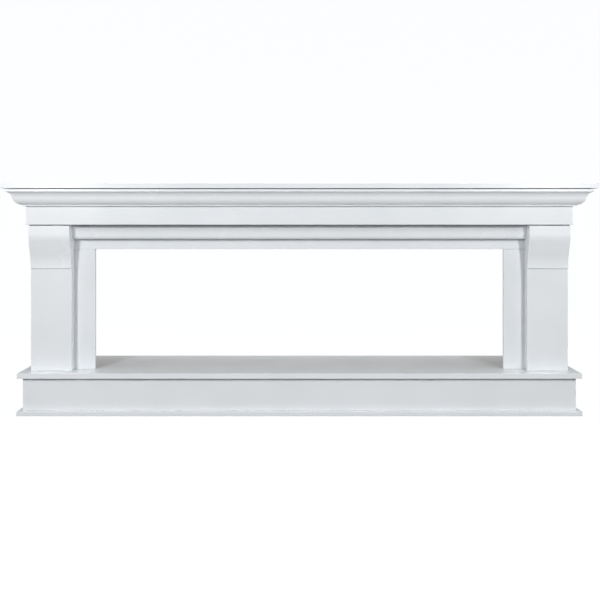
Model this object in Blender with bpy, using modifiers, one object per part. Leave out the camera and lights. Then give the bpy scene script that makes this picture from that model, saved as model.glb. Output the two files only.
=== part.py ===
"""A fireplace mantelpiece of white lacquered MDF: boards, a mitred crown moulding and two S-curved corbels.

Metres, +Z up. The origin is the middle of the underside, and the front faces -Y.
Each board or length of moulding is a separate piece, and neighbours are kept 0.3 mm apart.
"""

import math

import bmesh
import bpy
from mathutils import Matrix, Vector

# Sheet stock: thicknesses, the gap between neighbours, and the easing of the cut edges
BOARD = 0.016
SHELF_BOARD = 0.018
SLAB_BOARD = 0.019
GAP = 0.0003
EASE = 0.0015

# Mantel shelf, which is also the overall width and depth
SHELF_WIDTH = 2.100
SHELF_DEPTH = 0.496
FRONT = -SHELF_DEPTH / 2
BACK = SHELF_DEPTH / 2

# Heights above the floor
HEARTH_TOP = 0.152
PILASTER_TOP = 0.5225
OPENING_TOP = 0.5925
FRIEZE_BOTTOM = 0.6825
SHELF_BOTTOM = 0.811

# Crown moulding on the upper half of the frieze
SHELF_OVERHANG = 0.013
CROWN_PROJECTION = 0.059
CROWN_HEIGHT = 0.0615
CROWN_FILLET = 0.0115
CROWN_QUIRK = 0.002
CROWN_CURVE_RADIUS = 0.027
CROWN_STEEP_DEG = 75
CROWN_MIDDLE_DEG = 8
CROWN_LOW_DEG = 80
CROWN_BASE_PROJECTION = 0.011
CROWN_BASE_HEIGHT = 0.0045
CURVE_STEPS = 7

# Frieze
FRIEZE_HALF = SHELF_WIDTH / 2 - SHELF_OVERHANG - CROWN_PROJECTION
FRIEZE_FACE = FRONT + SHELF_OVERHANG + CROWN_PROJECTION

# Legs: a corbel over a pilaster board, an outer side panel, and an inner return to the stile
LEG_INSET = 0.0052
LEG_WIDTH = 0.1475
LEG_OUTER = FRIEZE_HALF - LEG_INSET
LEG_INNER = LEG_OUTER - LEG_WIDTH
CORBEL_FACE = FRIEZE_FACE + 0.0085
CORBEL_DROP = 0.0345
CORBEL_FOOT_PROUD = 0.005
PILASTER_FACE = CORBEL_FACE + CORBEL_DROP
CORBEL_CURVE_TOP = 0.6465
CORBEL_CURVE_DEG = 20
CORBEL_CONVEX_RADIUS = 0.070
CORBEL_CONCAVE_RADIUS = 0.120

# Header and stiles round the opening
STILE_FACE = FRONT + 0.159
STILE_WIDTH = 0.0761
OPENING_HALF = LEG_INNER - STILE_WIDTH
MOULDING_TOP_FACE = FRONT + 0.1206
MOULDING_BOTTOM = 0.6295
MOULDING_LEAN_DEG = 7
MOULDING_ROUND = 0.012

# Plinth box with the hearth slab on it and the base board under it
HEARTH_HALF = 1.0083
HEARTH_FRONT = FRONT + 0.060
PLINTH_INSET = 0.0173
PLINTH_HALF = HEARTH_HALF - PLINTH_INSET
PLINTH_FACE = HEARTH_FRONT + PLINTH_INSET
BASE_HALF = 1.0100

# Finishes, as linear colours
LACQUER = (0.80, 0.82, 0.84, 1.0)
BARE_BOARD = (0.33, 0.20, 0.10, 1.0)


def clear_scene():
    for old in list(bpy.data.objects):
        bpy.data.objects.remove(old, do_unlink=True)


def new_collection(name):
    collection = bpy.data.collections.new(name)
    bpy.context.scene.collection.children.link(collection)
    return collection


def give_finish(piece, colour, roughness):
    material = bpy.data.materials.new(piece.name + "_finish")
    material.use_nodes = True
    shader = material.node_tree.nodes["Principled BSDF"]
    shader.inputs["Base Color"].default_value = colour
    shader.inputs["Roughness"].default_value = roughness
    shader.inputs["Metallic"].default_value = 0.0
    piece.data.materials.append(material)


def ease_edges(piece):
    bevel = piece.modifiers.new("eased edges", "BEVEL")
    bevel.width = EASE
    bevel.segments = 1
    bevel.limit_method = "ANGLE"
    bevel.angle_limit = math.radians(60)


def add_board(name, low, high, bare=False):
    """A board that fills the box from its low corner to its high corner, with eased edges."""
    low = Vector(low)
    high = Vector(high)
    size = high - low
    bm = bmesh.new()
    bmesh.ops.create_cube(bm, size=1.0, matrix=Matrix.Diagonal(size).to_4x4())
    mesh = bpy.data.meshes.new(name)
    bm.to_mesh(mesh)
    bm.free()
    board = bpy.data.objects.new(name, mesh)
    board.location = (low + high) / 2
    mantelpiece.objects.link(board)
    ease_edges(board)
    if bare:
        give_finish(board, BARE_BOARD, 0.75)
    else:
        give_finish(board, LACQUER, 0.35)
    return board


def turn_points(start, from_deg, to_deg, radius):
    """Points of an arc that starts at (forward, down) and turns from one tilt to another.

    Tilt is the angle between the curve and a plumb line. The curve always runs down and back:
    it is convex where the tilt grows and concave where the tilt shrinks.
    """
    points = []
    sign = 1 if to_deg > from_deg else -1
    first = math.radians(from_deg)
    for step in range(1, CURVE_STEPS + 1):
        tilt = math.radians(from_deg + (to_deg - from_deg) * step / CURVE_STEPS)
        back = sign * radius * (math.cos(first) - math.cos(tilt))
        down = sign * radius * (math.sin(tilt) - math.sin(first))
        points.append((start[0] - back, start[1] + down))
    return points


def extrude_profile(name, outline, length):
    """A closed (forward, up) outline, extruded to its length along local Z, as a plain mesh."""
    curve = bpy.data.curves.new(name, "CURVE")
    curve.dimensions = "2D"
    curve.fill_mode = "BOTH"
    curve.extrude = length / 2
    spline = curve.splines.new("POLY")
    spline.points.add(len(outline) - 1)
    for point, (forward, up) in zip(spline.points, outline):
        point.co = (forward, up, 0.0, 1.0)
    spline.use_cyclic_u = True
    flat = bpy.data.objects.new(name + "_outline", curve)
    bpy.context.scene.collection.objects.link(flat)
    bpy.context.view_layer.update()
    evaluated = flat.evaluated_get(bpy.context.evaluated_depsgraph_get())
    mesh = bpy.data.meshes.new_from_object(evaluated)
    bpy.data.objects.remove(flat, do_unlink=True)
    mesh.name = name
    bm = bmesh.new()
    bm.from_mesh(mesh)
    bmesh.ops.remove_doubles(bm, verts=bm.verts, dist=0.00001)
    bmesh.ops.recalc_face_normals(bm, faces=bm.faces)
    bm.to_mesh(mesh)
    bm.free()
    piece = bpy.data.objects.new(name, mesh)
    mantelpiece.objects.link(piece)
    give_finish(piece, LACQUER, 0.35)
    return piece


def mitre_end(piece, end):
    """Shear one end (+1 or -1 along local Z) of an extruded profile, so that it meets a corner at 45 degrees."""
    for vertex in piece.data.vertices:
        if vertex.co.z * end > 0:
            vertex.co.z += end * vertex.co.x


def stand_profile(piece, corner, turn_deg):
    """Stand a profile up. Before it is turned about the vertical, forward is -Y and the length runs along X."""
    upright = Matrix(((0, 0, -1), (-1, 0, 0), (0, 1, 0))).to_4x4()
    turned = Matrix.Rotation(math.radians(turn_deg), 4, "Z")
    piece.matrix_world = Matrix.Translation(corner) @ turned @ upright


def crown_outline():
    """Fillet, cyma recta and base fillet, in metres forward of the frieze and up from the shelf's underside."""
    points = [(GAP, GAP), (CROWN_PROJECTION, GAP), (CROWN_PROJECTION, CROWN_FILLET)]
    start = (CROWN_PROJECTION - CROWN_QUIRK, CROWN_FILLET)
    hollow = turn_points(start, CROWN_STEEP_DEG, CROWN_MIDDLE_DEG, CROWN_CURVE_RADIUS)
    swell = turn_points(hollow[-1], CROWN_MIDDLE_DEG, CROWN_LOW_DEG, CROWN_CURVE_RADIUS)
    base_top = CROWN_HEIGHT - CROWN_BASE_HEIGHT
    points += [start] + hollow + swell
    points += [(CROWN_BASE_PROJECTION, base_top), (CROWN_BASE_PROJECTION, CROWN_HEIGHT), (GAP, CROWN_HEIGHT)]
    return [(forward, -down) for forward, down in points]


def corbel_outline():
    """Side view of a corbel, in metres forward of the pilaster board's back and down from the frieze."""
    depth = BOARD + CORBEL_DROP
    curve_down = FRIEZE_BOTTOM - CORBEL_CURVE_TOP
    bottom = FRIEZE_BOTTOM - PILASTER_TOP - GAP
    tilt = math.radians(CORBEL_CURVE_DEG)
    convex = turn_points((depth, curve_down), 0, CORBEL_CURVE_DEG, CORBEL_CONVEX_RADIUS)
    foot = BOARD + CORBEL_FOOT_PROUD
    straight_back = depth - foot - (1 - math.cos(tilt)) * (CORBEL_CONVEX_RADIUS + CORBEL_CONCAVE_RADIUS)
    hollow_start = (convex[-1][0] - straight_back, convex[-1][1] + straight_back / math.tan(tilt))
    hollow = turn_points(hollow_start, CORBEL_CURVE_DEG, 0, CORBEL_CONCAVE_RADIUS)
    points = [(0, GAP), (depth - EASE, GAP), (depth, GAP + EASE), (depth, curve_down)]
    points += convex + [hollow_start] + hollow
    points += [(foot, bottom - EASE), (foot - EASE, bottom), (0, bottom)]
    return [(forward, -down) for forward, down in points]


def header_moulding_outline():
    """A face that leans back and a rounded lower edge, in metres forward of the header board."""
    depth = STILE_FACE - MOULDING_TOP_FACE
    height = FRIEZE_BOTTOM - MOULDING_BOTTOM
    lean = math.radians(MOULDING_LEAN_DEG)
    round_height = MOULDING_ROUND * (1 - math.sin(lean))
    flat_height = height - round_height
    flat_end = (depth - flat_height * math.tan(lean), flat_height)
    points = [(GAP, GAP), (depth, GAP), flat_end]
    points += turn_points(flat_end, MOULDING_LEAN_DEG, 90, MOULDING_ROUND)
    points += [(GAP, height)]
    return [(forward, -down) for forward, down in points]


def build_shelf():
    add_board("mantel_shelf", (-SHELF_WIDTH / 2, FRONT, SHELF_BOTTOM),
              (SHELF_WIDTH / 2, BACK, SHELF_BOTTOM + SHELF_BOARD))


def build_crown():
    """Three lengths that meet in mitres at the front corners. The side lengths are cut square at the back."""
    outline = crown_outline()
    middle = (0, FRIEZE_FACE, SHELF_BOTTOM)
    front = extrude_profile("crown_front", outline, 2 * (FRIEZE_HALF - GAP))
    mitre_end(front, 1)
    mitre_end(front, -1)
    stand_profile(front, middle, 0)
    side_length = BACK - FRIEZE_FACE - GAP
    side_middle = BACK - side_length / 2
    for side, name, turn in ((-1, "crown_left", -90), (1, "crown_right", 90)):
        length = extrude_profile(name, outline, side_length)
        mitre_end(length, side)
        stand_profile(length, (side * FRIEZE_HALF, side_middle, SHELF_BOTTOM), turn)


def build_frieze():
    """A box of boards under the shelf, open inside."""
    top = SHELF_BOTTOM - GAP
    behind_face = FRIEZE_FACE + BOARD + GAP
    inside_end = FRIEZE_HALF - BOARD - GAP
    inside_back = BACK - BOARD - GAP
    add_board("frieze_front", (-FRIEZE_HALF, FRIEZE_FACE, FRIEZE_BOTTOM),
              (FRIEZE_HALF, FRIEZE_FACE + BOARD, top))
    for side, name in ((-1, "frieze_end_left"), (1, "frieze_end_right")):
        ends = sorted((side * FRIEZE_HALF, side * (FRIEZE_HALF - BOARD)))
        add_board(name, (ends[0], behind_face, FRIEZE_BOTTOM), (ends[1], BACK, top))
    add_board("frieze_soffit", (-inside_end, behind_face, FRIEZE_BOTTOM),
              (inside_end, inside_back, FRIEZE_BOTTOM + BOARD))
    add_board("back_rail", (-inside_end, BACK - BOARD, FRIEZE_BOTTOM),
              (inside_end, BACK, top), bare=True)


def build_leg(side, word):
    """A corbel, a pilaster board, an outer side panel and an inner return. The leg is open at the back."""
    top = FRIEZE_BOTTOM - GAP
    foot = HEARTH_TOP + GAP
    behind_face = PILASTER_FACE + BOARD + GAP
    face = sorted((side * LEG_INNER, side * LEG_OUTER))
    outer = sorted((side * (LEG_OUTER - BOARD), side * LEG_OUTER))
    inner = sorted((side * LEG_INNER, side * (LEG_INNER + BOARD)))
    corbel = extrude_profile("corbel_" + word, corbel_outline(), LEG_WIDTH)
    middle = side * (LEG_INNER + LEG_OUTER) / 2
    stand_profile(corbel, (middle, PILASTER_FACE + BOARD, FRIEZE_BOTTOM), 0)
    add_board("pilaster_" + word, (face[0], PILASTER_FACE, foot),
              (face[1], PILASTER_FACE + BOARD, PILASTER_TOP))
    add_board("leg_side_" + word, (outer[0], behind_face, foot),
              (outer[1], BACK, top))
    add_board("leg_return_" + word, (inner[0], behind_face, foot),
              (inner[1], STILE_FACE - GAP, top))


def build_header():
    """The header board, the moulding planted on it, and the stile at each side of the opening."""
    inner = LEG_INNER - GAP
    moulding = extrude_profile("header_moulding", header_moulding_outline(), 2 * inner)
    stand_profile(moulding, (0, STILE_FACE, FRIEZE_BOTTOM), 0)
    add_board("header_board", (-LEG_INNER - BOARD, STILE_FACE, OPENING_TOP),
              (LEG_INNER + BOARD, STILE_FACE + BOARD, FRIEZE_BOTTOM - GAP))
    for side, word in ((-1, "left"), (1, "right")):
        edges = sorted((side * OPENING_HALF, side * (LEG_INNER + BOARD)))
        add_board("stile_" + word, (edges[0], STILE_FACE, HEARTH_TOP + GAP),
                  (edges[1], STILE_FACE + BOARD, OPENING_TOP - GAP))


def build_hearth():
    """The hearth slab over four plinth boards, and the base board that they stand on."""
    slab_bottom = HEARTH_TOP - SLAB_BOARD
    low = BOARD + GAP
    high = slab_bottom - GAP
    plinth_back = BACK - PLINTH_INSET
    inside = PLINTH_HALF - BOARD - GAP
    add_board("hearth_slab", (-HEARTH_HALF, HEARTH_FRONT, slab_bottom),
              (HEARTH_HALF, BACK, HEARTH_TOP))
    add_board("base_board", (-BASE_HALF, HEARTH_FRONT, 0),
              (BASE_HALF, BACK, BOARD))
    add_board("plinth_front", (-PLINTH_HALF, PLINTH_FACE, low),
              (PLINTH_HALF, PLINTH_FACE + BOARD, high))
    for side, word in ((-1, "left"), (1, "right")):
        ends = sorted((side * PLINTH_HALF, side * (PLINTH_HALF - BOARD)))
        add_board("plinth_end_" + word, (ends[0], PLINTH_FACE + BOARD + GAP, low),
                  (ends[1], plinth_back, high))
    add_board("plinth_back", (-inside, plinth_back - BOARD, low),
              (inside, plinth_back, high), bare=True)


clear_scene()
mantelpiece = new_collection("fireplace_mantelpiece")
build_shelf()
build_crown()
build_frieze()
build_header()
for leg_side, leg_word in ((-1, "left"), (1, "right")):
    build_leg(leg_side, leg_word)
build_hearth()
bpy.context.view_layer.update()
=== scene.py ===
# %% [markdown]
# # A white lacquered fireplace mantelpiece
#
# The object is a surround for a wide, low fire, built like furniture: flat MDF boards 16 to 19 mm thick,
# four lengths of machined moulding and two S-curved corbels, all sprayed with white satin lacquer. This
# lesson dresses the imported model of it. The frame gives every piece's place and size: a board fills the
# box of its node, and a moulding is worked out from the same boxes.

# %% Load the frame
import math

import bmesh
import bpy
from mathutils import Matrix, Vector


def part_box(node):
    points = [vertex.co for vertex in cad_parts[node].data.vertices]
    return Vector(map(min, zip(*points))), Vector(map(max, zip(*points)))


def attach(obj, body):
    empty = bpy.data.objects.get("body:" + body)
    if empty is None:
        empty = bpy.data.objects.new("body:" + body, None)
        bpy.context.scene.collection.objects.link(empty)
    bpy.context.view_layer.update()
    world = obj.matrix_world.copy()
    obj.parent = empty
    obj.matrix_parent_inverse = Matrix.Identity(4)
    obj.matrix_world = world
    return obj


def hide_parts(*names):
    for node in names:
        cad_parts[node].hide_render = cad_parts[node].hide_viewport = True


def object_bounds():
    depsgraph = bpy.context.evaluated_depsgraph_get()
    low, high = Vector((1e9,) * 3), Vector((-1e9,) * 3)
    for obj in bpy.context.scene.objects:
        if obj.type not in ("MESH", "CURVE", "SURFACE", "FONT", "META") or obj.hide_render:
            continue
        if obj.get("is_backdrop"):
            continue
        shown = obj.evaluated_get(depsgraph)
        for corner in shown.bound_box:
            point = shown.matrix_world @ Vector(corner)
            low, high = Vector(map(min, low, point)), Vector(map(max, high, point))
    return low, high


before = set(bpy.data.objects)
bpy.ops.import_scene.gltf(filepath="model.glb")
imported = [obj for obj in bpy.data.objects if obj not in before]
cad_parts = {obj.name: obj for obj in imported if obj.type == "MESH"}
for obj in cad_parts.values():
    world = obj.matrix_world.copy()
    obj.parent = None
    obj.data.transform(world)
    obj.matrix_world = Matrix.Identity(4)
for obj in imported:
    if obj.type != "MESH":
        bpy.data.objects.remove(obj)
cad_low, cad_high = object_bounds()
print("CAD box in mm:", [round(1000 * size) for size in cad_high - cad_low])

# %% [markdown]
# ## Camera
#
# The picture shows true verticals and one vanishing point, so the camera is level and looks straight along
# +Y. The middle of the picture is lower than the camera's horizon. A shifted lens does that without
# tilting the camera, the way a view camera's rising front does.

# %% Place the camera
IMAGE_SIZE = 600
FOCAL_PIXELS = 930
HORIZON_ROW = 218
MIDDLE_COLUMN = 299.4
CAMERA_BACK = 3.2546
CAMERA_HEIGHT = 0.7067

camera = bpy.data.objects.new("camera", bpy.data.cameras.new("camera"))
camera.data.lens = camera.data.sensor_width * FOCAL_PIXELS / IMAGE_SIZE
camera.data.shift_x = (IMAGE_SIZE / 2 - MIDDLE_COLUMN) / IMAGE_SIZE
camera.data.shift_y = (HORIZON_ROW - IMAGE_SIZE / 2) / IMAGE_SIZE
camera.location = (0, cad_low.y - CAMERA_BACK, CAMERA_HEIGHT)
camera.rotation_euler = (math.pi / 2, 0, 0)
bpy.context.scene.collection.objects.link(camera)
bpy.context.scene.camera = camera
print("lens in mm:", round(camera.data.lens, 1), "distance to the shelf in m:", CAMERA_BACK)

# %% [markdown]
# ## Two small helpers
#
# Colours are easiest to choose as the hex values that a colour picker shows, but shaders work with linear
# light, so one function turns them. The other adds a node to any tree, shader or geometry, with its
# settings and links.

# %% Helpers for colours and nodes
def linear(hex_colour):
    channels = [int(hex_colour[i:i + 2], 16) / 255 for i in (1, 3, 5)]
    return tuple(c / 12.92 if c <= 0.04045 else ((c + 0.055) / 1.055) ** 2.4 for c in channels) + (1.0,)


def add_node(tree, kind, feeds=None, **settings):
    """Add a node. feeds gives its inputs, by name or number: a socket is linked, anything else is set."""
    node = tree.nodes.new(kind)
    for name, value in settings.items():
        setattr(node, name, value)
    for socket, value in (feeds or {}).items():
        if isinstance(value, bpy.types.NodeSocket):
            tree.links.new(value, node.inputs[socket])
        else:
            node.inputs[socket].default_value = value
    return node


print("white lacquer as linear light:", [round(c, 3) for c in linear("#E9ECEF")])

# %% [markdown]
# ## White lacquer
#
# The boards are sprayed with white polyurethane lacquer and rubbed down between coats. That leaves a satin
# surface that is almost even: the film swells and thins a little over a hand's width, and it has the fine
# ripple called orange peel. Routed profiles drink more lacquer than the hard faces of the board, so on
# mouldings the film is a shade duller, with faint lines along the run where it was sanded. A rounded edge
# soaks up the most and is rubbed down the hardest, so it stays the dullest.

# %% Lacquered faces
MM = 0.001
CLOUD_SIZE = 180 * MM
PEEL_STRENGTH = 0.08
PEEL_HEIGHT = 0.15 * MM
# Orange peel is 2 to 3 mm across on the real film. It is drawn coarser, so that it shows from a step away.
FACE_PEEL = 6 * MM
ROUTED_PEEL = 4 * MM
# Sanding lines run along a moulding: the ripple is drawn out twenty times that way.
STRETCH = 0.05
FACE_TONES = ("#E6EAED", "#EBEEF1")
ROUTED_TONES = ("#E8ECEE", "#ECEFF2")
FACE_ROUGH = (0.17, 0.23)
ROUTED_ROUGH = (0.22, 0.30)
EDGE_ROUGH = (0.45, 0.55)


def new_material(name):
    material = bpy.data.materials.new(name)
    material.use_nodes = True
    material.node_tree.nodes.clear()
    return material, material.node_tree


def lacquer(name, tones, rough, peel, sanding=(1, 1, 1)):
    """Satin lacquer. sanding stretches the ripple along one axis, as (x, y, z) scales."""
    material, tree = new_material(name)
    place = add_node(tree, "ShaderNodeTexCoord").outputs["Object"]
    cloud = add_node(tree, "ShaderNodeTexNoise", {"Vector": place, "Scale": 1 / CLOUD_SIZE, "Detail": 2.0})
    shade = add_node(tree, "ShaderNodeValToRGB", {"Fac": cloud.outputs["Fac"]})
    for stop, position, tone in zip(shade.color_ramp.elements, (0.3, 0.7), tones):
        stop.position = position
        stop.color = linear(tone)
    gloss = add_node(tree, "ShaderNodeMapRange", {
        "Value": cloud.outputs["Fac"], "To Min": rough[0], "To Max": rough[1]})
    stretched = add_node(tree, "ShaderNodeMapping", {"Vector": place, "Scale": sanding})
    ripple = add_node(tree, "ShaderNodeTexNoise", {
        "Vector": stretched.outputs["Vector"], "Scale": 1 / peel, "Detail": 1.0})
    relief = add_node(tree, "ShaderNodeBump", {
        "Height": ripple.outputs["Fac"], "Strength": PEEL_STRENGTH, "Distance": PEEL_HEIGHT})
    shader = add_node(tree, "ShaderNodeBsdfPrincipled", {
        "Base Color": shade.outputs["Color"], "Roughness": gloss.outputs["Result"], "IOR": 1.5,
        "Normal": relief.outputs["Normal"]})
    add_node(tree, "ShaderNodeOutputMaterial", {"Surface": shader.outputs["BSDF"]})
    return material


satin_face = lacquer("satin_lacquer_on_mdf", FACE_TONES, FACE_ROUGH, FACE_PEEL)
satin_along_x = lacquer("satin_lacquer_on_routed_mdf_x", ROUTED_TONES, ROUTED_ROUGH, ROUTED_PEEL,
                        sanding=(STRETCH, 1, 1))
satin_along_y = lacquer("satin_lacquer_on_routed_mdf_y", ROUTED_TONES, ROUTED_ROUGH, ROUTED_PEEL,
                        sanding=(1, STRETCH, 1))
dull_edge = lacquer("dull_lacquer_on_eased_edges", FACE_TONES, EDGE_ROUGH, FACE_PEEL)
print("lacquer finishes:", satin_face.name, satin_along_x.name, satin_along_y.name, dull_edge.name)

# %% [markdown]
# ## Bare MDF
#
# Inside and behind, the board is left as it comes from the mill: pressed brown fibre without gloss, a
# little cloudy, with darker flecks about 1.5 mm long. Two noises multiplied give both at once.

# %% Bare fibre
FIBRE_CLOUD = 60 * MM
FLECK_SIZE = 1.5 * MM
FUZZ_HEIGHT = 0.2 * MM


def bare_fibre(name):
    material, tree = new_material(name)
    place = add_node(tree, "ShaderNodeTexCoord").outputs["Object"]
    cloud = add_node(tree, "ShaderNodeTexNoise", {"Vector": place, "Scale": 1 / FIBRE_CLOUD, "Detail": 3.0})
    fleck = add_node(tree, "ShaderNodeTexNoise", {
        "Vector": place, "Scale": 1 / FLECK_SIZE, "Detail": 4.0, "Roughness": 0.7})
    both = add_node(tree, "ShaderNodeMath", {0: cloud.outputs["Fac"], 1: fleck.outputs["Fac"]},
                    operation="MULTIPLY")
    shade = add_node(tree, "ShaderNodeValToRGB", {"Fac": both.outputs["Value"]})
    for stop, position, tone in zip(shade.color_ramp.elements, (0.12, 0.42), ("#8E6C4A", "#B8946A")):
        stop.position = position
        stop.color = linear(tone)
    fuzz = add_node(tree, "ShaderNodeBump", {
        "Height": fleck.outputs["Fac"], "Strength": 0.25, "Distance": FUZZ_HEIGHT})
    shader = add_node(tree, "ShaderNodeBsdfPrincipled", {
        "Base Color": shade.outputs["Color"], "Roughness": 0.85, "IOR": 1.45,
        "Normal": fuzz.outputs["Normal"]})
    add_node(tree, "ShaderNodeOutputMaterial", {"Surface": shader.outputs["BSDF"]})
    return material


bare_mdf = bare_fibre("bare_mdf")
print("bare finish:", bare_mdf.name)

# %% [markdown]
# ## Boards
#
# A cabinet maker never leaves a sawn edge sharp, because lacquer creeps away from it and it chips. Exposed
# edges are rounded to about 1.5 mm, and edges that close against a neighbour are only broken, to half a
# millimetre, so that the joint stays a hairline. A cube with a bevel weight on each edge gives both from
# one Bevel modifier. The weights are worked out from the names of the faces that meet a neighbour. A few
# boards stop a millimetre and a half short of the one they meet. That shadow gap draws a clean dark line
# where the lacquered parts come together.

# %% Make one board
EXPOSED_EASE = 1.5 * MM
JOINT_EASE = 0.5 * MM
SHADOW_GAP = 1.5 * MM
EASE_STEPS = 3
BOARD_FINISHES = (satin_face, bare_mdf, dull_edge)
SIDES = {"left": Vector((-1, 0, 0)), "right": Vector((1, 0, 0)), "front": Vector((0, -1, 0)),
         "back": Vector((0, 1, 0)), "under": Vector((0, 0, -1)), "top": Vector((0, 0, 1))}


def side_of(face):
    return max(SIDES, key=lambda side: face.normal.dot(SIDES[side]))


def show(mesh, name, *nodes, slot="white_lacquer"):
    """Put a mesh in the scene as a piece that stands for its CAD nodes."""
    piece = bpy.data.objects.new(name, mesh)
    bpy.context.scene.collection.objects.link(piece)
    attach(piece, "root")
    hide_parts(*nodes)
    return piece


def make_board(node, joints=(), bare=(), short=(), slot="white_lacquer"):
    """joints are the faces that meet a neighbour, bare the unpainted ones, short those with a shadow gap."""
    low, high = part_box(node)
    for side in short:
        if max(SIDES[side]) > 0:
            high = high - SIDES[side] * SHADOW_GAP
        else:
            low = low - SIDES[side] * SHADOW_GAP
    bm = bmesh.new()
    bmesh.ops.create_cube(bm, size=1.0, matrix=Matrix.LocRotScale((low + high) / 2, None, high - low))
    bm.normal_update()
    weight = bm.edges.layers.float.new("bevel_weight_edge")
    for edge in bm.edges:
        meets = any(side_of(face) in joints for face in edge.link_faces)
        edge[weight] = JOINT_EASE / EXPOSED_EASE if meets else 1.0
    for face in bm.faces:
        face.material_index = BOARD_FINISHES.index(bare_mdf if side_of(face) in bare else satin_face)
        face.smooth = True
    mesh = bpy.data.meshes.new(node + "_board")
    bm.to_mesh(mesh)
    bm.free()
    for finish in BOARD_FINISHES:
        mesh.materials.append(finish)
    board = show(mesh, node + "_board", node, slot=slot)
    ease = board.modifiers.new("eased edges", "BEVEL")
    ease.width = EXPOSED_EASE
    ease.segments = EASE_STEPS
    ease.limit_method = "WEIGHT"
    ease.harden_normals = True
    ease.material = BOARD_FINISHES.index(bare_mdf if slot == "bare_mdf" else dull_edge)


# %% [markdown]
# Each row below is one board: the faces that meet a neighbour, the faces that stay bare, and any that stop
# short for a shadow gap. The right-hand boards are the left-hand ones in a mirror, so a loop writes them.

# %% Lay out the boards
MIRRORED = {"left": "right", "right": "left"}
middle_boards = {
    "mantel_shelf": ((), ("back",), ()),
    "frieze_front": (("top", "back"), ("back",), ()),
    "frieze_soffit": (("front", "left", "right", "back"), ("top",), ()),
    "header_board": (("top", "left", "right"), ("back",), ()),
    "hearth_slab": ((), ("back",), ()),
    "base_board": ((), ("back", "under"), ()),
    "plinth_front": (("under", "back"), ("back",), ("top",)),
}
left_boards = {
    "frieze_end": (("top", "front"), ("right", "back"), ()),
    "pilaster": (("back",), ("back",), ()),
    "leg_side": (("front", "top"), ("right", "back"), ()),
    "leg_return": (("front", "back", "top"), ("left", "back"), ("back",)),
    "stile": (("left",), ("back", "left"), ()),
    "plinth_end": (("front", "under"), ("right", "back"), ("top",)),
}
hidden_boards = ("back_rail", "plinth_back")
for node, (joints, bare, short) in middle_boards.items():
    make_board(node, joints, bare, short)
for node, (joints, bare, short) in left_boards.items():
    make_board(node + "_left", joints, bare, short)
    make_board(node + "_right", [MIRRORED.get(side, side) for side in joints],
               [MIRRORED.get(side, side) for side in bare], short)
for node in hidden_boards:
    make_board(node, ("left", "right"), tuple(SIDES), slot="bare_mdf")
print("boards made:", len(middle_boards) + 2 * len(left_boards) + len(hidden_boards))

# %% [markdown]
# ## Outlines of the mouldings
#
# A moulding is one outline, pushed along a straight run. All three outlines here are made of straight
# stretches and arcs that run downwards, so one function that turns from one tilt to another draws them. A
# tilt of 0 degrees is an upright face, and 90 degrees is an underside. Each outline is kept as points of
# (forward, down) in metres, with the radius by which that corner is eased.

# %% Draw arcs by their tilt
ARC_STEPS = 14
ARRIS = 0.7 * MM
GAP = 0.3 * MM


def arc(start, from_deg, to_deg, radius):
    """Points that turn from one tilt to another. The line is hollow where the tilt shrinks."""
    sign = 1 if to_deg > from_deg else -1
    first = math.radians(from_deg)
    points = []
    for step in range(1, ARC_STEPS + 1):
        tilt = math.radians(from_deg + (to_deg - from_deg) * step / ARC_STEPS)
        points.append((start[0] - sign * radius * (math.cos(first) - math.cos(tilt)),
                       start[1] + sign * radius * (math.sin(tilt) - math.sin(first)), 0))
    return points


quarter_end = arc((0, 0), 0, 90, 10 * MM)[-1]
print("a 10 mm quarter round ends in mm:", [round(size / MM, 1) for size in quarter_end[:2]])

# %% [markdown]
# ### Crown
#
# The crown is a cyma recta: under a square fillet the line steps back by a small quirk, hollows, swells
# again below, and lands on a small base fillet. A router bit cuts the whole outline in one pass. The fillet
# stays a couple of millimetres clear of the shelf, which gives the dark line under the shelf's edge.

# %% Crown outline
SHELF_GAP = 2.2 * MM
FILLET_TALL = 11.5 * MM
QUIRK = 2 * MM
CYMA_RADIUS = 27 * MM
CYMA_TOP, CYMA_MIDDLE, CYMA_FOOT = 75, 8, 80
BASE_OUT = 12.5 * MM
BASE_TALL = 4 * MM
crown_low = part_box("crown_front")[0]
frieze_low, frieze_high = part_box("frieze_front")
shelf_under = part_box("mantel_shelf")[0].z
CROWN_OUT = frieze_low.y - crown_low.y
CROWN_TALL = shelf_under - crown_low.z


def crown_outline():
    shoulder = (CROWN_OUT - QUIRK, FILLET_TALL)
    hollow = arc(shoulder, CYMA_TOP, CYMA_MIDDLE, CYMA_RADIUS)
    swell = arc(hollow[-1], CYMA_MIDDLE, CYMA_FOOT, CYMA_RADIUS)
    fillet = [(GAP, SHELF_GAP, 0), (CROWN_OUT, SHELF_GAP, ARRIS), (CROWN_OUT, FILLET_TALL, ARRIS)]
    base = [(BASE_OUT, CROWN_TALL - BASE_TALL, 0), (BASE_OUT, CROWN_TALL, ARRIS), (GAP, CROWN_TALL, 0)]
    return fillet + [(*shoulder, 0)] + hollow + swell + base


print("crown in mm: forward", round(CROWN_OUT / MM, 1), "tall", round(CROWN_TALL / MM, 1))

# %% [markdown]
# ### Corbel
#
# The corbel starts upright, rounds over its shoulder, slopes back, and hollows out to a foot that stands 5
# mm proud of the pilaster board below. A bandsaw and a sanding drum make such a block. A shallow rebate
# along its top keeps it apart from the lacquered frieze, so that the two don't stick, and leaves a fine
# dark line.

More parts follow.
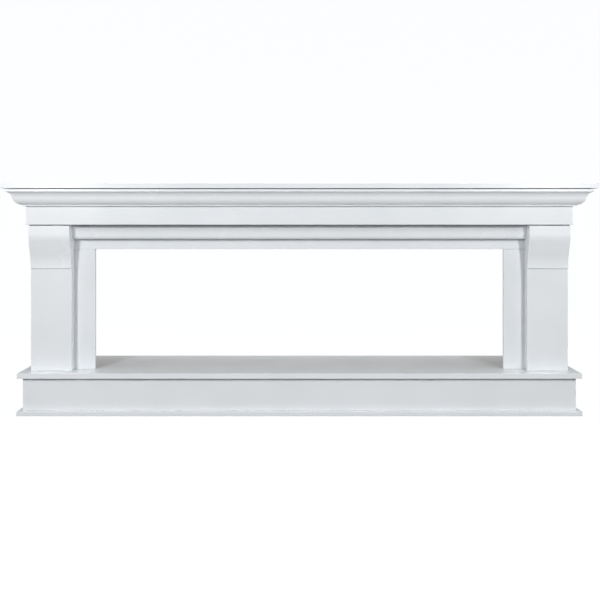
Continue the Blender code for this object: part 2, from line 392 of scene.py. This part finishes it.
# %% Corbel outline
CORBEL_STRAIGHT = 36 * MM
CORBEL_TILT = 20
CONVEX_RADIUS = 70 * MM
CONCAVE_RADIUS = 120 * MM
FOOT_PROUD = 5 * MM
REBATE_TALL = 3.8 * MM
REBATE_DEEP = 12 * MM
corbel_low, corbel_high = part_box("corbel_left")
pilaster_low, pilaster_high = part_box("pilaster_left")
frieze_under = frieze_low.z
CORBEL_THICK = corbel_high.y - corbel_low.y
PILASTER_THICK = pilaster_high.y - pilaster_low.y
CORBEL_TALL = frieze_under - corbel_low.z


def rebated_top(forward, tall):
    """The first points of an outline whose top steps back, and the arris under that step."""
    return [(forward - REBATE_DEEP, GAP, 0), (forward - REBATE_DEEP, tall, 0), (forward, tall, ARRIS)]


def corbel_outline():
    tilt = math.radians(CORBEL_TILT)
    foot = PILASTER_THICK + FOOT_PROUD
    drop = CORBEL_THICK - foot
    slant = drop - (1 - math.cos(tilt)) * (CONVEX_RADIUS + CONCAVE_RADIUS)
    convex = arc((CORBEL_THICK, CORBEL_STRAIGHT), 0, CORBEL_TILT, CONVEX_RADIUS)
    turn = (convex[-1][0] - slant, convex[-1][1] + slant / math.tan(tilt), 0)
    hollow = arc(turn, CORBEL_TILT, 0, CONCAVE_RADIUS)
    return ([(0, GAP, 0)] + rebated_top(CORBEL_THICK, REBATE_TALL) + [(CORBEL_THICK, CORBEL_STRAIGHT, 0)]
            + convex + [turn] + hollow
            + [(foot, CORBEL_TALL - GAP, EXPOSED_EASE), (0, CORBEL_TALL - GAP, 0)])


print("corbel in mm: thick", round(CORBEL_THICK / MM, 1), "tall", round(CORBEL_TALL / MM, 1))

# %% [markdown]
# ### Header moulding
#
# This one is nearly upright, and its lower edge rolls under in a quarter round. It has the same kind of
# rebate under the frieze as the corbels, which joins their dark line to the deeper shadow of the recess.

# %% Header moulding outline
MOULDING_LEAN = 7
MOULDING_ROUND = 12 * MM
MOULDING_REBATE = 2.5 * MM
moulding_low, moulding_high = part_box("header_moulding")
header_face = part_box("header_board")[0].y
MOULDING_OUT = header_face - moulding_low.y
MOULDING_TALL = frieze_under - moulding_low.z


def header_outline():
    lean = math.radians(MOULDING_LEAN)
    flat = MOULDING_TALL - MOULDING_ROUND * (1 - math.sin(lean))
    end = (MOULDING_OUT - flat * math.tan(lean), flat)
    return ([(GAP, GAP, 0)] + rebated_top(MOULDING_OUT, MOULDING_REBATE) + [(*end, 0)]
            + arc(end, MOULDING_LEAN, 90, MOULDING_ROUND)
            + [(GAP, MOULDING_TALL, 0)])


print("header moulding in mm: forward", round(MOULDING_OUT / MM, 1), "tall", round(MOULDING_TALL / MM, 1))

# %% [markdown]
# ## A run of moulding, with Geometry Nodes
#
# A length of moulding follows a rule: the same outline all along a straight line, with its ends cut square
# or mitred. One node tree makes every run here. It rounds the outline's corners by each point's own
# radius, sweeps it along the run, and pushes each mitred end out by as much as a point stands forward,
# which is what a 45 degree saw cut does. The tree is worked by named inputs, so the crown's three lengths,
# the header moulding and the two corbels are six settings of one tool.

# %% Build the tree
WELD = 0.01 * MM


def moulding_tree():
    tree = bpy.data.node_groups.new("moulding_run", "GeometryNodeTree")
    face = tree.interface
    face.new_socket("Geometry", in_out="INPUT", socket_type="NodeSocketGeometry")
    for name, kind in (("Outline", "Object"), ("Length", "Float"), ("Mitre Start", "Float"),
                       ("Mitre End", "Float"), ("Corner Steps", "Int"), ("Finish", "Material")):
        face.new_socket(name, in_out="INPUT", socket_type="NodeSocket" + kind)
    face.new_socket("Geometry", in_out="OUTPUT", socket_type="NodeSocketGeometry")
    given = add_node(tree, "NodeGroupInput").outputs
    outline = add_node(tree, "GeometryNodeObjectInfo", {"Object": given["Outline"]})
    own_radius = add_node(tree, "GeometryNodeInputRadius")
    eased = add_node(tree, "GeometryNodeFilletCurve", {
        "Curve": outline.outputs["Geometry"], "Count": given["Corner Steps"],
        "Radius": own_radius.outputs["Radius"]}, mode="POLY")
    filled = add_node(tree, "GeometryNodeFillCurve", {"Curve": eased.outputs["Curve"]}, mode="NGONS")
    along = add_node(tree, "ShaderNodeCombineXYZ", {"Z": given["Length"]})
    pushed = add_node(tree, "GeometryNodeExtrudeMesh", {
        "Mesh": filled.outputs["Mesh"], "Offset": along.outputs[0], "Individual": False}, mode="FACES")
    bottom = add_node(tree, "GeometryNodeFlipFaces", {"Mesh": filled.outputs["Mesh"]})
    closed = add_node(tree, "GeometryNodeJoinGeometry")
    tree.links.new(pushed.outputs["Mesh"], closed.inputs[0])
    tree.links.new(bottom.outputs["Mesh"], closed.inputs[0])
    welded = add_node(tree, "GeometryNodeMergeByDistance", {"Geometry": closed.outputs[0], "Distance": WELD})
    # Each point moves along the run by its forward distance times the mitre of the end that it belongs to.
    place = add_node(tree, "GeometryNodeInputPosition")
    split = add_node(tree, "ShaderNodeSeparateXYZ", {0: place.outputs[0]})
    half = add_node(tree, "ShaderNodeMath", {0: given["Length"], 1: 0.5}, operation="MULTIPLY")
    far = add_node(tree, "ShaderNodeMath", {0: split.outputs["Z"], 1: half.outputs[0]},
                   operation="GREATER_THAN")
    start = add_node(tree, "ShaderNodeMath", {0: given["Mitre Start"], 1: -1.0}, operation="MULTIPLY")
    slope = add_node(tree, "GeometryNodeSwitch", {
        "Switch": far.outputs[0], "False": start.outputs[0], "True": given["Mitre End"]}, input_type="FLOAT")
    reach = add_node(tree, "ShaderNodeMath", {0: split.outputs["X"], 1: slope.outputs[0]},
                     operation="MULTIPLY")
    centred = add_node(tree, "ShaderNodeMath", {0: reach.outputs[0], 1: half.outputs[0]},
                       operation="SUBTRACT")
    offset = add_node(tree, "ShaderNodeCombineXYZ", {"Z": centred.outputs[0]})
    cut = add_node(tree, "GeometryNodeSetPosition", {
        "Geometry": welded.outputs[0], "Offset": offset.outputs[0]})
    whole = add_node(tree, "GeometryNodeRealizeInstances", {"Geometry": cut.outputs[0]})
    dressed = add_node(tree, "GeometryNodeSetMaterial", {
        "Geometry": whole.outputs[0], "Material": given["Finish"]})
    add_node(tree, "NodeGroupOutput", {"Geometry": dressed.outputs[0]})
    return tree


run_tree = moulding_tree()
run_inputs = {item.name: item.identifier for item in run_tree.interface.items_tree if item.in_out == "INPUT"}
print("tree inputs:", list(run_inputs))

# %% [markdown]
# The tree's result is kept as a plain mesh, turned from the outline's flat drawing to the run's place. A
# Weighted Normal modifier then lets the wide faces set the shading, because smooth shading alone would
# tilt the light on a flat towards the curve that starts beside it.

# %% Run a moulding
SHARP_ANGLE = 28
CORNER_STEPS = 3
# In the drawing, forward is X, down is -Y and the run is Z. Upright, they lie along -Y, -Z and -X.
UPRIGHT = Matrix(((0, 0, -1), (-1, 0, 0), (0, 1, 0))).to_4x4()


def outline_curve(name, outline):
    """The outline as a closed flat curve. Each point's radius carries its easing."""
    curve = bpy.data.curves.new(name, "CURVE")
    curve.dimensions = "3D"
    spline = curve.splines.new("POLY")
    spline.points.add(len(outline) - 1)
    for point, (forward, down, ease) in zip(spline.points, outline):
        point.co = (forward, -down, 0, 1)
        point.radius = ease
    spline.use_cyclic_u = True
    guide = bpy.data.objects.new(name, curve)
    bpy.context.scene.collection.objects.link(guide)
    return guide


def run_moulding(node, outline, length, middle, turn_deg, finish, mitres=(0, 0)):
    """One level length: forward is -Y before it is turned about the vertical."""
    guide = outline_curve(node + "_outline", outline)
    holder = bpy.data.objects.new(node + "_run", bpy.data.meshes.new(node + "_run"))
    bpy.context.scene.collection.objects.link(holder)
    run = holder.modifiers.new("run", "NODES")
    run.node_group = run_tree
    for name, value in (("Outline", guide), ("Length", length), ("Mitre Start", float(mitres[0])),
                        ("Mitre End", float(mitres[1])), ("Corner Steps", CORNER_STEPS), ("Finish", finish)):
        run[run_inputs[name]] = value
    bpy.context.view_layer.update()
    mesh = bpy.data.meshes.new_from_object(holder.evaluated_get(bpy.context.evaluated_depsgraph_get()))
    for helper in (holder, guide):
        bpy.data.objects.remove(helper, do_unlink=True)
    turned = Matrix.Rotation(math.radians(turn_deg), 4, "Z")
    mesh.transform(Matrix.Translation(middle) @ turned @ UPRIGHT)
    bm = bmesh.new()
    bm.from_mesh(mesh)
    bmesh.ops.recalc_face_normals(bm, faces=bm.faces)
    bm.to_mesh(mesh)
    bm.free()
    mesh.name = node + "_moulding"
    mesh.shade_smooth()
    mesh.set_sharp_from_angle(angle=math.radians(SHARP_ANGLE))
    piece = show(mesh, node + "_moulding", node)
    print(node, "run of", round(length / MM), "mm,", len(mesh.polygons), "faces")
    return piece


def keep_flats_flat(piece):
    shading = piece.modifiers.new("flats stay flat", "WEIGHTED_NORMAL")
    shading.keep_sharp = True


# %% Crown, in three mitred lengths
frieze_half = frieze_high.x
back = cad_high.y
keep_flats_flat(run_moulding("crown_front", crown_outline(), 2 * (frieze_half - GAP),
                             (0, frieze_low.y, shelf_under), 0, satin_along_x, mitres=(1, 1)))
side_run = back - frieze_low.y - GAP
for side, node, mitres in ((-1, "crown_left", (1, 0)), (1, "crown_right", (0, 1))):
    keep_flats_flat(run_moulding(node, crown_outline(), side_run,
                                 (side * frieze_half, back - side_run / 2, shelf_under),
                                 90 * side, satin_along_y, mitres=mitres))

# %% Header moulding
keep_flats_flat(run_moulding("header_moulding", header_outline(), moulding_high.x - moulding_low.x,
                             (0, header_face, frieze_under), 0, satin_along_x))

# %% [markdown]
# The corbels are the same tool with a wide outline and a short run. Their side arrises are rounded like
# those of the pilaster boards that they stand on, by a Bevel modifier that only takes the square corners.

# %% Corbels
SIDE_EASE = 1.2 * MM
SQUARE_CORNER = 70

for node in ("corbel_left", "corbel_right"):
    low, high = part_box(node)
    corbel = run_moulding(node, corbel_outline(), high.x - low.x,
                          ((low.x + high.x) / 2, high.y, frieze_under), 0, satin_along_x)
    rounding = corbel.modifiers.new("eased arrises", "BEVEL")
    rounding.width = SIDE_EASE
    rounding.segments = EASE_STEPS
    rounding.limit_method = "ANGLE"
    rounding.angle_limit = math.radians(SQUARE_CORNER)
    rounding.harden_normals = True
    keep_flats_flat(corbel)

# %% [markdown]
# ## Floor
#
# The floor runs up into a round cove and closes overhead, so that the background is the same pale tone
# from every side. It glows by itself and only the camera sees it, so it takes no part in lighting the
# object.

# %% Pale floor with a round cove
FLOOR_GLOW = 0.99
FLOOR_TURNS = 64
# Rings of (radius, height) in metres, from the middle of the floor to the top of the cove.
FLOOR_RINGS = ((0.001, 0.0), (3.0, 0.0), (8.0, 0.0), (16.0, 0.0), (22.0, 1.2), (26.0, 4.5), (28.0, 10.0),
               (26.0, 18.0), (18.0, 25.0), (0.001, 28.0))


def pale_floor():
    bm = bmesh.new()
    turns = [math.tau * k / FLOOR_TURNS for k in range(FLOOR_TURNS)]
    rows = []
    for radius, height in FLOOR_RINGS:
        rows.append([bm.verts.new((radius * math.cos(turn), radius * math.sin(turn), height))
                     for turn in turns])
    for inner, outer in zip(rows, rows[1:]):
        for k in range(FLOOR_TURNS):
            following = (k + 1) % FLOOR_TURNS
            bm.faces.new((inner[k], outer[k], outer[following], inner[following]))
    mesh = bpy.data.meshes.new("pale_floor")
    bm.to_mesh(mesh)
    bm.free()
    mesh.shade_smooth()
    floor = bpy.data.objects.new("pale_floor", mesh)
    bpy.context.scene.collection.objects.link(floor)
    material, tree = new_material("pale_painted_floor")
    diffuse = add_node(tree, "ShaderNodeBsdfDiffuse", {"Color": linear("#3E3F40")})
    glow = add_node(tree, "ShaderNodeEmission", {"Color": linear("#FCFDFE"), "Strength": FLOOR_GLOW})
    both = add_node(tree, "ShaderNodeAddShader", {0: diffuse.outputs[0], 1: glow.outputs[0]})
    add_node(tree, "ShaderNodeOutputMaterial", {"Surface": both.outputs[0]})
    mesh.materials.append(material)
    floor.visible_diffuse = False
    floor.visible_glossy = False
    floor.visible_shadow = False
    floor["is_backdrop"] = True
    return floor


print("floor faces:", len(pale_floor().data.polygons))

# %% [markdown]
# ## Lamps
#
# On each side a stand in front of the object carries two small softboxes, the lower one the stronger. They
# hang higher than the shelf and outside the legs. From there they rake the faces evenly, leave slim
# shadows under the shelf, the frieze and the header moulding, and throw the long shadows of the stiles
# over the hearth. One wide softbox overhead, a little behind the middle, lights the top of the shelf.

# %% Softboxes
SOFTBOX_SIDE = 0.30
SOFTBOX_OUT = 1.45
SOFTBOX_FRONT = 2.20
LOWER_HEIGHT = 1.20
UPPER_HEIGHT = 1.80
LEFT_WATTS = 36.0
RIGHT_WATTS = 33.5
UPPER_SHARE = 0.27
AIM_OUT = 0.4
AIM_HEIGHT = 0.45
OVERHEAD_PLACE = (0, 0.30, 3.20)
OVERHEAD_SIDE = 1.5
OVERHEAD_WATTS = 30.0


def softbox(name, place, aim, side, watts):
    light = bpy.data.lights.new(name, "AREA")
    light.shape = "SQUARE"
    light.size = side
    light.energy = watts
    lamp = bpy.data.objects.new(name, light)
    lamp.location = place
    lamp.rotation_euler = (Vector(aim) - Vector(place)).to_track_quat("-Z", "Y").to_euler()
    bpy.context.scene.collection.objects.link(lamp)


front = cad_low.y - SOFTBOX_FRONT
levels = (("lower", LOWER_HEIGHT, 1 - UPPER_SHARE), ("upper", UPPER_HEIGHT, UPPER_SHARE))
for side, word, watts in ((-1, "left", LEFT_WATTS), (1, "right", RIGHT_WATTS)):
    for level, height, share in levels:
        softbox("softbox_" + level + "_" + word, (side * SOFTBOX_OUT, front, height),
                (side * SOFTBOX_OUT * AIM_OUT, 0, AIM_HEIGHT), SOFTBOX_SIDE, watts * share)
softbox("softbox_overhead", OVERHEAD_PLACE, (0, 0, 0), OVERHEAD_SIDE, OVERHEAD_WATTS)
print("softboxes at", SOFTBOX_FRONT, "m in front,", LOWER_HEIGHT, "and", UPPER_HEIGHT, "m up, one overhead")

# %% [markdown]
# ## Room
#
# The room around is dark in front, where the camera stands, and dim behind. It is bright at both sides,
# where its walls are pale and near, and a little less so on the left. The hearth mirrors the dim back of
# the room at a flat angle, which is why it looks a shade darker than the upright faces, and why the white
# stiles show in it so clearly.

# %% The room's own light
FRONT_GLOW = 0.04
BACK_GLOW = 0.38
SIDE_LOW_GLOW = 0.58
SIDE_HIGH_GLOW = 0.90
LEFT_SHARE = 0.84
# Front passes into back over this much of the view direction, and low into high over that much.
END_BLEND = 0.3
WALL_BLEND = 0.5
# The ends give way to the side walls between these two angles from the long axis.
WALLS_FROM_DEG = 58
WALLS_TO_DEG = 42

world = bpy.data.worlds.new("room")
bpy.context.scene.world = world
world.use_nodes = True
room = world.node_tree
direction = add_node(room, "ShaderNodeTexCoord").outputs["Generated"]
parts = add_node(room, "ShaderNodeSeparateXYZ", {0: direction})
ends = add_node(room, "ShaderNodeMapRange", {
    "Value": parts.outputs["Y"], "From Min": -END_BLEND, "From Max": END_BLEND,
    "To Min": FRONT_GLOW, "To Max": BACK_GLOW})
walls = add_node(room, "ShaderNodeMapRange", {
    "Value": parts.outputs["Z"], "From Min": 0.0, "From Max": WALL_BLEND,
    "To Min": SIDE_LOW_GLOW, "To Max": SIDE_HIGH_GLOW})
outward = add_node(room, "ShaderNodeMath", {0: parts.outputs["X"]}, operation="ABSOLUTE")
lengthwise = add_node(room, "ShaderNodeMath", {0: parts.outputs["Y"]}, operation="ABSOLUTE")
turn = add_node(room, "ShaderNodeMath", {0: lengthwise.outputs[0], 1: outward.outputs[0]},
                operation="ARCTAN2")
sideways = add_node(room, "ShaderNodeMapRange", {
    "Value": turn.outputs[0],
    "From Min": math.radians(WALLS_FROM_DEG), "From Max": math.radians(WALLS_TO_DEG)})
share = add_node(room, "ShaderNodeMapRange", {
    "Value": parts.outputs["X"], "From Min": -END_BLEND, "From Max": END_BLEND,
    "To Min": LEFT_SHARE, "To Max": 1.0})
uneven = add_node(room, "ShaderNodeMath", {0: walls.outputs[0], 1: share.outputs[0]}, operation="MULTIPLY")
glow = add_node(room, "ShaderNodeMix", {
    "Factor": sideways.outputs[0], "A": ends.outputs[0], "B": uneven.outputs[0]}, data_type="FLOAT")
room.links.new(glow.outputs[0], room.nodes["Background"].inputs["Strength"])
room.nodes["Background"].inputs["Color"].default_value = (1, 1, 1, 1)
bpy.context.scene.view_settings.view_transform = "Standard"
print("room light: front", FRONT_GLOW, "back", BACK_GLOW, "sides", SIDE_LOW_GLOW, "to", SIDE_HIGH_GLOW)

# %% [markdown]
# ## Finish
#
# The last step prints the box of the dressed model. The CAD model's box was printed when it was loaded.

# %% Print the dressed size
low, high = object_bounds()
print("visual box in mm:", [round(1000 * size, 1) for size in high - low])
